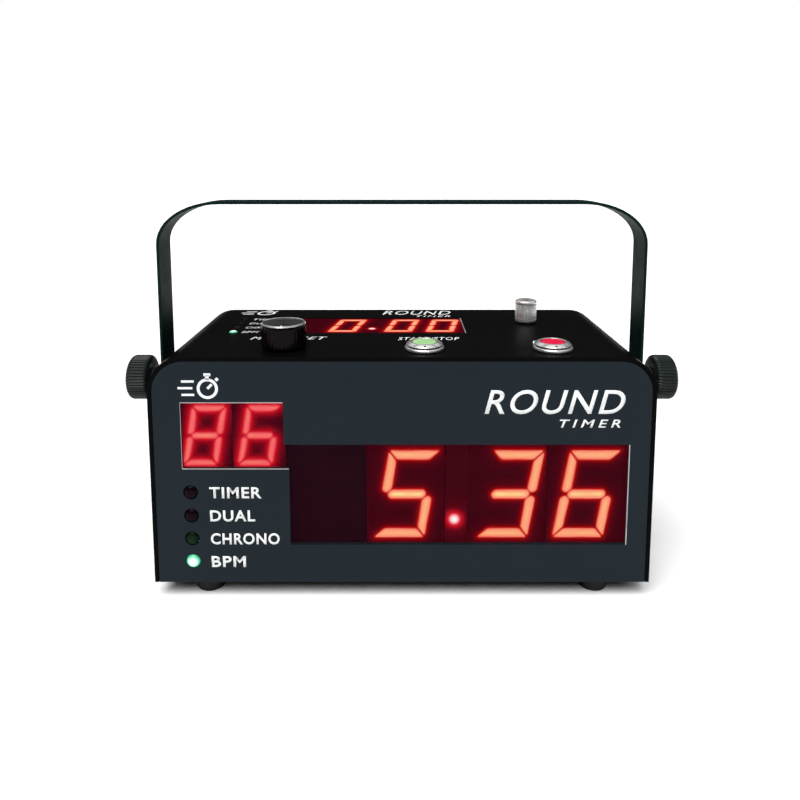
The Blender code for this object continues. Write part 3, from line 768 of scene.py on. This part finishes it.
def lit_module(node, text, kind, shift, materials):
    """One figure's module: its glowing face and its segments, shifted from the module's middle."""
    low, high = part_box(node)
    size = FIGURE_SIZES[kind]
    width, height, thick = size[:3]
    face = front_face(low.y - FACE_STANDOFF)
    middle = ((low.x + high.x) / 2 + shift[0], (low.z + high.z) / 2 + shift[1])
    origin = (middle[0] - width / 2 - LEAN * height / 2, middle[1] - height / 2)
    keys = SEGMENTS_OF[text]
    lit = placed(size, keys, origin)
    unlit = placed(size, sorted(set("abcdefg") - set(keys)), origin)

    def light(points):
        shade = np.where(away_from(points, unlit) > 0, 1.0, UNLIT_SHADE)
        halo = HALO_PEAK * np.exp(-away_from(points, lit) / HALO_REACH[kind]) if lit else BLANK_GLOW
        return shade * halo

    finish = materials[f"face_{kind}" if lit else "face_blank"]
    glow_sheet(f"{node}_face", (low.x, low.z), (high.x, high.z), face, light, finish)
    if lit:
        figure(f"{node}_segments", keys, lit, thick, face, materials[f"lit_{kind}"])


def make_front_displays(materials):
    """The front's figures, each at its own shift across its module in mm, and their point."""
    for index, (text, across) in enumerate([(" ", 0.8), ("5", 0.7), ("3", 1.6), ("6", -0.6)]):
        lit_module(f"large_digit_{index + 1}", text, "large", (across * mm, -0.7 * mm), materials)
    for index, (text, across) in enumerate([("8", -0.5), ("6", 0.1)]):
        lit_module(f"small_digit_{index + 1}", text, "small", (across * mm, -0.8 * mm), materials)

    low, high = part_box("separator_lamp")
    front = low.y - FACE_STANDOFF
    spot = (low.x + 4.7 * mm, low.z + 13.7 * mm)
    radius = 2.4 * mm

    def light(points):
        away = np.maximum(np.linalg.norm(points - np.array(spot), axis=1) - radius, 0)
        # A painted highlight: a faint glowing line along the module's right edge.
        seam_highlight = 0.22 * np.exp(-((points[:, 0] - high.x) / (0.4 * mm)) ** 2)
        return np.maximum(1.1 * np.exp(-away / (2.7 * mm)), seam_highlight)

    glow_sheet("separator_face", (low.x, low.z), (high.x, high.z), front_face(front), light,
               materials["face_point"], cell=0.45 * mm)
    profile = [(0, 0.12 * mm), (radius * 0.55, 0.11 * mm), (radius * 0.8, 0.09 * mm)]
    profile += [(radius, 0.02 * mm), (radius, 0)]
    turned("separator_lens", profile, 32, materials["lit_point"], "casing", "display_module", (),
           (spot[0], front, spot[1]), (0, -1, 0), glow=lambda r, h: 1 - (r / radius) ** 1.5)


def make_deck_display(materials):
    """Three zeros and their point, just under the skin of the deck's pane. The first place is blank."""
    low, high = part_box("deck_window")
    level = high.z - 0.4 * mm
    face = deck_face(level)
    size, keys = FIGURE_SIZES["deck"], SEGMENTS_OF["0"]
    base = low.y + 4 * mm
    figures = [placed(size, keys, (left * mm, base)) for left in (-41.8, -10.2, 13.2)]
    lit = [outline for outlines in figures for outline in outlines]
    dot = np.array((-17.0 * mm, base + 7.5 * mm))
    radius = 2.0 * mm

    def light(points):
        halo = HALO_PEAK * np.exp(-away_from(points, lit) / HALO_REACH["deck"])
        away = np.maximum(np.linalg.norm(points - dot, axis=1) - radius, 0)
        return np.maximum(halo, np.exp(-away / (1.6 * mm)))

    glow_sheet("deck_display_face", (low.x, low.y), (high.x, high.y), face, light, materials["face_large"])
    for place, outlines in enumerate(figures, start=2):
        figure(f"deck_digit_{place}_segments", keys, outlines, size[2], face, materials["lit_large"])
    profile = [(0, 0.12 * mm), (radius * 0.6, 0.11 * mm), (radius, 0.02 * mm), (radius, 0)]
    turned("deck_point_lens", profile, 32, materials["lit_point"], "casing", "display_module", (),
           (*dot, level), glow=lambda r, h: 1 - (r / radius) ** 1.5)


# ---------------------------------------------------------------- casing


def make_casing(materials):
    refined("cover", "cover_shell", materials["coat"], 0.35 * mm)
    refined("front_panel", "front_facia", materials["slate"], 0.15 * mm, 2)
    refined("rear_panel", "rear_plate", materials["back"], 0.2 * mm, 2)
    refined("base_tray", "base_plate", materials["coat"], 0.25 * mm, 2)
    refined("front_window", "front_pane", materials["pane"], 0.2 * mm, 2)
    refined("deck_window", "deck_pane", materials["pane"], 0.2 * mm, 2)


def make_feet(materials):
    """Moulded feet with a rounded tread, a waist line and a screw well below."""
    for end in ("front", "rear"):
        for side in ("left", "right"):
            node = f"foot_{end}_{side}"
            low, high, middle = span(node)
            radius, top = (high.x - low.x) / 2, high.z
            outside = [(0, top), (radius - 0.2 * mm, top), (radius - 0.2 * mm, 6.2 * mm), (radius, 6.0 * mm)]
            outside += [(radius, 0.5 * mm), (radius - 0.4 * mm, 0), (3.6 * mm, 0)]
            outside += [(3.4 * mm, 2.6 * mm), (0, 2.6 * mm)]
            turned(f"{node}_moulding", fillet(outside, 0.3 * mm), 64, materials["rubber"],
                   "casing", "foot", [node], (middle.x, middle.y, 0))
            screw(f"{node}_screw", (middle.x, middle.y, 2.55 * mm), (0, 0, -1), 2.9 * mm, materials["steel"])


def screw(name, at, along, radius, finish, rise=1.2 * mm):
    """A pan-head screw with a cross recess, sitting on a surface."""
    profile = fillet([(0, rise), (radius * 0.75, rise), (radius, rise * 0.35), (radius, 0), (0, 0)], 0.4 * mm)
    piece = add(name, revolve(name, profile, 40), finish, "casing", None, (), at, along)
    cutter = bmesh.new()
    for turn in (0, math.pi / 2):
        made = bmesh.ops.create_cube(cutter, size=1)["verts"]
        bmesh.ops.scale(cutter, vec=(radius * 1.1, radius * 0.24, rise * 1.2), verts=made)
        bmesh.ops.rotate(cutter, matrix=Matrix.Rotation(turn, 3, "Z"), verts=made)
        bmesh.ops.translate(cutter, vec=(0, 0, rise), verts=made)
    tool = bpy.data.objects.new("recess", flat_mesh(cutter, "recess"))
    bpy.context.scene.collection.objects.link(tool)
    tool.matrix_world = piece.matrix_world
    cross = piece.modifiers.new("Cross", "BOOLEAN")
    cross.object = tool
    cross.use_self = True
    bpy.context.view_layer.update()
    graph = bpy.context.evaluated_depsgraph_get()
    cut_mesh = bpy.data.meshes.new_from_object(piece.evaluated_get(graph))
    piece.modifiers.clear()
    piece.data = cut_mesh
    smooth(cut_mesh, 30)
    bpy.data.objects.remove(tool)
    return piece


def make_rear(materials):
    """Screws of the rear panel and of the cover's sides, and the power socket."""
    low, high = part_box("rear_panel")
    inset, margin = 8 * mm, 7 * mm
    spots = [(low.x + inset, low.z + margin), (high.x - inset, low.z + margin)]
    spots += [(low.x + inset, high.z - 24 * mm), (high.x - inset, high.z - 24 * mm)]
    spots += [(0, low.z + margin), (0, high.z - margin)]
    for index, (x, z) in enumerate(spots):
        at = (x, high.y - SCREW_SINK, z)
        screw(f"rear_screw_{index + 1}", at, (0, 1, 0), SCREW_RADIUS, materials["steel"], SCREW_RISE)
    low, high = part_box("cover")
    for side, out, edge in (("left", -1, low.x), ("right", 1, high.x)):
        for index, y in enumerate((low.y + 16 * mm, high.y - 16 * mm)):
            name, at = f"cover_screw_{side}_{index + 1}", (edge - out * SCREW_SINK, y, low.z + margin)
            screw(name, at, (out, 0, 0), SCREW_RADIUS, materials["clamp"], SCREW_RISE)
    low, high, middle = span("power_inlet")
    half = (high.y - low.y) / 2
    floor = half - 10 * mm
    outside = [(0, half - 1.5 * mm), (1 * mm, half - 1.5 * mm), (1 * mm, floor), (2.8 * mm, floor)]
    outside += [(2.8 * mm, half), (5.5 * mm, half), (5.5 * mm, half - 0.7 * mm), (4 * mm, half - 0.7 * mm)]
    outside += [(4 * mm, -half), (0, -half)]
    turned("power_socket", fillet(outside, 0.25 * mm, 2), 48, materials["gloss"], "casing",
           "black_plastic", ["power_inlet"], middle, (0, 1, 0))


# ---------------------------------------------------------------- lamps


def make_lamps(materials):
    """Domed lamps with a flange. The glow fades from the middle of the dome to its edge."""
    red = ("red_lamp", materials["lens_red"])
    looks = [("lit_lamp", materials["lens_lit"]), ("green_lamp", materials["lens_green"]), red, red]
    steps = 10
    for group, along, radius in (("mode_lamp", (0, -1, 0), 3.45 * mm), ("deck_lamp", (0, 0, 1), 2.3 * mm)):
        for index, (slot, look) in enumerate(looks):
            node = f"{group}_{index + 1}"
            low, high, middle = span(node)
            length = (high.y - low.y) if group == "mode_lamp" else (high.z - low.z)
            top, flange = length / 2, radius + 0.7 * mm
            dome = radius * 0.52
            profile = []
            for step in range(steps + 1):
                angle = math.radians(90) * step / steps
                profile.append((radius * math.sin(angle), top - dome * (1 - math.cos(angle))))
            profile += [(radius, 3 * mm - top), (flange, 3 * mm - top), (flange, -top), (0, -top)]

            def glow(r, h, reach=radius, crown=top - dome):
                return max(0.0, 1 - (r / reach) ** 1.6) if h > crown - 0.5 * mm else 0.05

            turned(f"{node}_lens", profile, 48, look, "casing", slot, [node], middle, along, glow=glow)


# ---------------------------------------------------------------- controls


def flutes(count, depth, low, high, sharp=1.0):
    """A radius rule that cuts round flutes into the side between two heights."""

    def shape(radius, height, angle):
        if not low <= height <= high:
            return radius
        wave = 0.5 - 0.5 * math.cos(count * angle)
        return radius - depth * wave**sharp

    return shape


def make_menu_knob(materials):
    """Gloss black fluted side, a bright chamfered rim and a satin inlaid top."""
    low, high, middle = span("menu_knob")
    radius, tall = (high.x - low.x) / 2, high.z - low.z
    rim, inlay = radius - 0.9 * mm, tall - 0.55 * mm
    at = (middle.x, middle.y, low.z)
    outside = [(0, tall - 0.9 * mm), (rim - 0.1 * mm, tall - 0.9 * mm), (rim, tall - 0.45 * mm)]
    outside += [(radius - 0.25 * mm, tall - 0.9 * mm), (radius, tall - 2.2 * mm)]
    outside += [(radius, height) for height in (tall - 2.4 * mm, tall - 3.0 * mm, tall * 0.5, 1.2 * mm)]
    outside += [(radius - 0.1 * mm, 0.5 * mm), (radius - 0.5 * mm, 0), (9 * mm, 0), (9 * mm, 4.8 * mm)]
    outside += [(KNOB_BORE, 4.8 * mm), (KNOB_BORE, tall - 2.6 * mm), (0, tall - 2.6 * mm)]
    turned("menu_knob_body", outside, 288, materials["gloss"], "menu_knob", "black_plastic",
           ["menu_knob"], at, shape=flutes(40, 0.12 * mm, 1.0 * mm, tall - 2.5 * mm, 2.0))
    top = [(0, inlay), (rim - 0.6 * mm, inlay), (rim - 0.35 * mm, tall - 0.85 * mm), (0, tall - 0.85 * mm)]
    turned("menu_knob_top", top, 96, materials["satin_top"], "menu_knob", "black_plastic", (), at)
    inner = rim - 0.3 * mm
    ring = [(inner, tall - 0.15 * mm), (rim - 0.05 * mm, tall), (rim + 0.35 * mm, tall - 0.12 * mm)]
    ring += [(rim + 0.62 * mm, tall - 0.75 * mm), (inner, tall - 0.8 * mm), (inner, tall - 0.15 * mm)]
    turned("menu_knob_rim", ring, 96, materials["nickel"], "menu_knob", "steel", (), at)
    pointer = Print("menu_knob_pointer", Matrix.Translation((middle.x, middle.y, low.z + inlay)))
    pointer.outline(bar(0, -rim + 1.0 * mm, 0, -rim + 4.2 * mm, 0.35 * mm))
    pointer.finish(materials["ink"], "menu_knob", "black_plastic")


def make_volume_knob(materials):
    """Turned aluminium with a groove near each end and fine straight knurling between."""
    low, high, middle = span("volume_knob")
    radius, tall = (high.x - low.x) / 2, high.z - low.z
    groove = radius - 0.5 * mm
    outside = [(0, tall - 0.1 * mm), (radius * 0.55, tall - 0.08 * mm), (radius - 0.7 * mm, tall)]
    outside += [(radius, tall - 0.7 * mm)]
    for height in (tall - 2.0 * mm, 2.6 * mm):
        outside += [(radius, height), (groove, height - 0.12 * mm), (groove, height - 0.38 * mm)]
        outside += [(radius, height - 0.5 * mm)]
    outside += [(radius, 0.5 * mm), (radius - 0.4 * mm, 0), (KNOB_BORE, 0)]
    outside += [(KNOB_BORE, tall - 3 * mm), (0, tall - 3 * mm)]
    turned("volume_knob_turned", fillet(outside, 0.12 * mm, 2), 240, materials["aluminium"],
           "volume_knob", "volume_knob", ["volume_knob"], (middle.x, middle.y, low.z),
           shape=flutes(26, 0.16 * mm, 2.7 * mm, tall - 2.4 * mm))


def make_push_button(name, cap_finish, materials):
    """A polished housing in two steps with three key dots, round a flat coloured cap."""
    node = f"{name}_button_housing"
    low, high, middle = span(node)
    at = (middle.x, middle.y, low.z)
    tall, radius = high.z - low.z, (high.x - low.x) / 2
    base = tall - 3.8 * mm
    outside = [(0, 3 * mm), (6.3 * mm, 3 * mm), (6.3 * mm, tall - 0.1 * mm), (6.5 * mm, tall)]
    outside += [(7.3 * mm, tall), (9.25 * mm, tall - 1.25 * mm), (9.25 * mm, tall - 1.6 * mm)]
    outside += [(8.5 * mm, tall - 1.65 * mm), (8.5 * mm, tall - 2.25 * mm), (9.6 * mm, tall - 2.3 * mm)]
    outside += [(radius, tall - 2.75 * mm), (radius, base), (7.8 * mm, base), (7.8 * mm, 0), (0, 0)]
    turned(f"{name}_button_body", fillet(outside, 0.22 * mm, 3), 96, materials["nickel"],
           "casing", "button_ring", [node], at)
    inner, outer, upper, lower = 8.55 * mm, 8.62 * mm, tall - 1.66 * mm, tall - 2.24 * mm
    gasket = [(inner, upper), (outer, upper), (outer, lower), (inner, lower), (inner, upper)]
    turned(f"{name}_button_gasket", gasket, 96, materials["rubber"], "casing", "foot", (), at)
    slope = Vector((1.25, 0, 1.95)).normalized()
    dot = [(0, 0.03 * mm), (0.5 * mm, 0.03 * mm), (0.55 * mm, -0.05 * mm)]
    for index in range(3):
        turn = Matrix.Rotation(math.radians(-90 + 120 * index), 4, "Z")
        spot = turn @ Vector((8.28 * mm, 0, tall - 0.6 * mm))
        turned(f"{name}_key_{index + 1}", dot, 20, materials["gloss"], "casing", "black_plastic", (),
               Vector(at) + spot, turn.to_3x3() @ slope)

    node = f"{name}_button_cap"
    low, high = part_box(node)
    tall, radius = high.z - low.z - CAP_DROP, (high.x - low.x) / 2
    outside = [(0, tall), (radius * 0.6, tall), (radius - 0.05 * mm, tall - 0.05 * mm)]
    outside += [(radius, tall - 0.8 * mm), (radius, 0), (0, 0)]
    turned(f"{name}_cap_moulding", fillet(outside, 0.3 * mm), 72, cap_finish, f"{name}_cap",
           f"{name}_cap", [node], (middle.x, middle.y, low.z))

    node = f"{name}_button_spring"
    low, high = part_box(node)
    coil = add(f"{name}_coil", NODES[node].data.copy(), materials["steel"], "casing", "steel", [node])
    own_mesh(coil)


# ---------------------------------------------------------------- handle


def make_handle(materials):
    refined("handle_strap", "handle_bar", materials["paint"], 0.3 * mm)
    for side, out in (("left", -1), ("right", 1)):
        node = f"clamp_knob_{side}"
        low, high, middle = span(node)
        long, radius = high.x - low.x, (high.z - low.z) / 2
        at = (low.x if out > 0 else high.x, middle.y, middle.z)
        neck = 5.5 * mm
        outside = [(0, long - 0.9 * mm), (5.5 * mm, long - 0.9 * mm), (6.3 * mm, long)]
        outside += [(radius - 2.2 * mm, long), (radius - 0.5 * mm, long - 1.2 * mm)]
        outside += [(radius, long - 2.4 * mm), (radius, neck + 2.4 * mm)]
        outside += [(radius - 0.5 * mm, neck + 1.1 * mm), (radius - 2.4 * mm, neck)]
        outside += [(5.2 * mm, neck), (5.2 * mm, 0.3 * mm), (4.9 * mm, 0)]
        outside += [(KNOB_BORE, 0), (KNOB_BORE, 13 * mm), (0, 13 * mm)]

        def shape(r, h, angle, rim=radius, start=neck, end=long):
            """Round flutes that fade out over the rounded ends."""
            if r < rim - 2.3 * mm or h < start:
                return r
            reach = min(1.0, min(h - start, end - h) / (1.6 * mm))
            wave = abs(math.sin(22 * angle))
            return r - 0.62 * mm * (1 - wave) * reach

        turned(f"{node}_moulding", fillet(outside, 0.5 * mm, 4), 352, materials["clamp"], f"{side}_knob",
               "clamp_knob", [node], at, (out, 0, 0), shape=shape)


def dress_cad_nodes(materials):
    """Give every CAD node that still shows a procedural material of its own kind."""
    looks = {
        "steel": materials["steel"], "washer": materials["fibre"], "circuit_board": materials["board"],
        "black_plastic": materials["gloss"], "loudspeaker": materials["cone"],
        "display_module": materials["module"],
    }
    for name, node in NODES.items():
        if node.hide_render:
            continue
        finish = looks.get(slot_of(name), materials["back"])
        node.data.materials.clear()
        node.data.materials.append(finish)
        for polygon in node.data.polygons:
            polygon.material_index = 0
        smooth(node.data, 40)


# ---------------------------------------------------------------- print on the casing, and painted highlights on window edges


def make_front_print(materials):
    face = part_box("front_panel")[0].y
    ink = Print("front_print", front_face(face))
    lamp = centre_of("mode_lamp_1")
    cap = 5.8 * mm
    labels = [("BPM", 17.3), ("CHRONO", 34.6), ("DUAL", 22.5), ("TIMER", 26.0)]
    for index, (text, width) in enumerate(labels):
        level = centre_of(f"mode_lamp_{index + 1}").z - cap / 2
        ink.text(text, lamp.x + 9.3 * mm, level, cap, width * mm, weight=0.034, spacing=1.12)
    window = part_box("front_window")
    top = window[1].z
    stopwatch_mark(ink, window[0].x + 13.5 * mm, top + 8.2 * mm, 13.0 * mm)
    ink.text("ROUND", 40.5 * mm, top - 5.2 * mm, 12.5 * mm, 69 * mm, lean=0.25, weight=0.012, spacing=1.12)
    ink.text("TIMER", 77.5 * mm, top - 12.3 * mm, 4.2 * mm, 30 * mm, lean=0.25, weight=0.020, spacing=1.5)
    ink.finish(materials["ink"], "casing", "front_panel")
    make_edge_highlights(face, materials)


def make_edge_highlights(face, materials):
    """Painted highlights: the light lines where the window's polished edge shows."""
    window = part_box("front_window")
    left, right = window[0].x - WINDOW_GAP, window[1].x + WINDOW_GAP
    top = window[1].z + WINDOW_GAP
    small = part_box("small_digit_2")
    split, low = small[1].x + 1.6 * mm, small[0].z + 1.5 * mm
    foot, shoulder = window[0].z - WINDOW_GAP, 80.5 * mm
    half = 0.22 * mm
    lines = Print("window_edge_highlights", front_face(face))
    lines.outline(bar(left, top, split - 2.5 * mm, top, half))
    lines.outline(bar(left, low, split, low, half))
    lines.outline(bar(left, low, left, top, half * 0.5))
    lines.outline(bar(right, foot, right, shoulder, half * 1.2))
    lines.finish(materials["edge_highlight"], "casing", "window")


def make_deck_print(materials):
    low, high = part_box("cover")
    deck, front = high.z, low.y
    ink = Print("deck_print", deck_face(deck))
    cap = 4.2 * mm
    style = {"lean": 0.15, "weight": 0.020, "spacing": 1.08}
    for index, (text, width) in enumerate([("BPM", 9.5), ("CHRONO", 19), ("DUAL", 13), ("TIMER", 17)]):
        lamp = centre_of(f"deck_lamp_{index + 1}")
        ink.text(text, lamp.x + 4.8 * mm, lamp.y - cap / 2, cap, width * mm, **style)
    menu, start, reset = [centre_of(node) for node in ("menu_knob", "start_button_cap", "reset_button_cap")]
    style = {"lean": 0.3, "weight": 0.014, "spacing": 1.16}
    label = front + 33.5 * mm
    ink.text("MENU/SET", menu.x - 21 * mm, label + 0.6 * mm, 6.2 * mm, 41 * mm, **style)
    ink.text("START/STOP", start.x - 13.5 * mm, label - 0.5 * mm, 6.2 * mm, 33 * mm, **style)
    ink.text("RESET", reset.x - 8 * mm, label - 7.5 * mm, 5.4 * mm, 16 * mm, **style)
    stopwatch_mark(ink, centre_of("deck_lamp_4").x + 9.5 * mm, front + 100.5 * mm, 14 * mm, lean=0.1)
    ink.text("ROUND", -12 * mm, front + 95.5 * mm, 11.5 * mm, 43 * mm, lean=0.3, weight=0.012, spacing=1.1)
    ink.text("TIMER", 9 * mm, front + 89 * mm, 4.2 * mm, 21 * mm, lean=0.3, weight=0.018, spacing=1.3)
    ink.finish(materials["ink"], "casing", "cover")

    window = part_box("deck_window")
    # A painted highlight where the deck window's polished edge shows
    lines = Print("deck_window_edge_highlight", deck_face(deck))
    edge = window[1].x + WINDOW_GAP
    lines.outline(bar(edge, window[0].y - WINDOW_GAP, edge, window[1].y + WINDOW_GAP, 0.25 * mm))
    lines.finish(materials["edge_highlight"], "casing", "window")


# ---------------------------------------------------------------- stage


def make_camera():
    """Close in front, a little above, looking slightly down."""
    data = bpy.data.cameras.new("camera")
    data.sensor_width = 36
    data.lens = CAMERA_LENS
    data.shift_y = CAMERA_SHIFT
    data.clip_start = 0.01
    camera = bpy.data.objects.new("camera", data)
    bpy.context.scene.collection.objects.link(camera)
    camera.location = CAMERA_AT
    camera.rotation_euler = (math.radians(90 - CAMERA_PITCH), 0, 0)
    bpy.context.scene.camera = camera


def make_stage():
    """A pale floor, a white surround and one soft sun lamp above, tilted a little off the vertical."""
    form = bmesh.new()
    bmesh.ops.create_grid(form, x_segments=1, y_segments=1, size=6)
    mesh = flat_mesh(form, "floor")
    floor = bpy.data.objects.new("floor", mesh)
    bpy.context.scene.collection.objects.link(floor)
    white = Finish("floor", Roughness=0.9, Specular_IOR_Level=0.0)
    white.colour(white.ramp(white.noise(0.4), (0.0, (0.94, 0.94, 0.94)), (1.0, (0.96, 0.96, 0.96))))
    mesh.materials.append(white.material)

    make_surround()
    overhead = bpy.data.lights.new("overhead", "SUN")
    overhead.energy = 3.1
    overhead.angle = math.radians(50)
    lamp = bpy.data.objects.new("overhead", overhead)
    bpy.context.scene.collection.objects.link(lamp)
    lamp.rotation_euler = (math.radians(28), math.radians(-14), 0)
    bpy.context.scene.view_settings.view_transform = "Standard"


def make_surround():
    """A white room to look at, that lights the object from above and leaves its sides dark."""
    world = bpy.data.worlds.new("studio")
    world.use_nodes = True
    bpy.context.scene.world = world
    nodes, links = world.node_tree.nodes, world.node_tree.links
    height = nodes.new("ShaderNodeSeparateXYZ")
    links.new(nodes.new("ShaderNodeTexCoord").outputs["Generated"], height.inputs["Vector"])
    sky = nodes.new("ShaderNodeValToRGB")
    sky.color_ramp.elements[0].position = 0.35
    sky.color_ramp.elements[0].color = (0.03, 0.03, 0.03, 1)
    sky.color_ramp.elements[1].position = 0.75
    sky.color_ramp.elements[1].color = (0.85, 0.85, 0.85, 1)
    links.new(height.outputs["Z"], sky.inputs["Fac"])
    seen = nodes.new("ShaderNodeMix")
    seen.data_type = "RGBA"
    links.new(nodes.new("ShaderNodeLightPath").outputs["Is Camera Ray"], seen.inputs[0])
    links.new(sky.outputs["Color"], seen.inputs[6])
    seen.inputs[7].default_value = (1, 1, 1, 1)
    links.new(seen.outputs[2], nodes["Background"].inputs["Color"])


def main():
    materials = make_materials()
    make_camera()
    make_stage()
    make_casing(materials)
    make_feet(materials)
    make_rear(materials)
    make_front_displays(materials)
    make_deck_display(materials)
    make_lamps(materials)
    make_menu_knob(materials)
    make_volume_knob(materials)
    make_push_button("start", materials["green_cap"], materials)
    make_push_button("reset", materials["red_cap"], materials)
    make_handle(materials)
    make_front_print(materials)
    make_deck_print(materials)
    dress_cad_nodes(materials)


main()
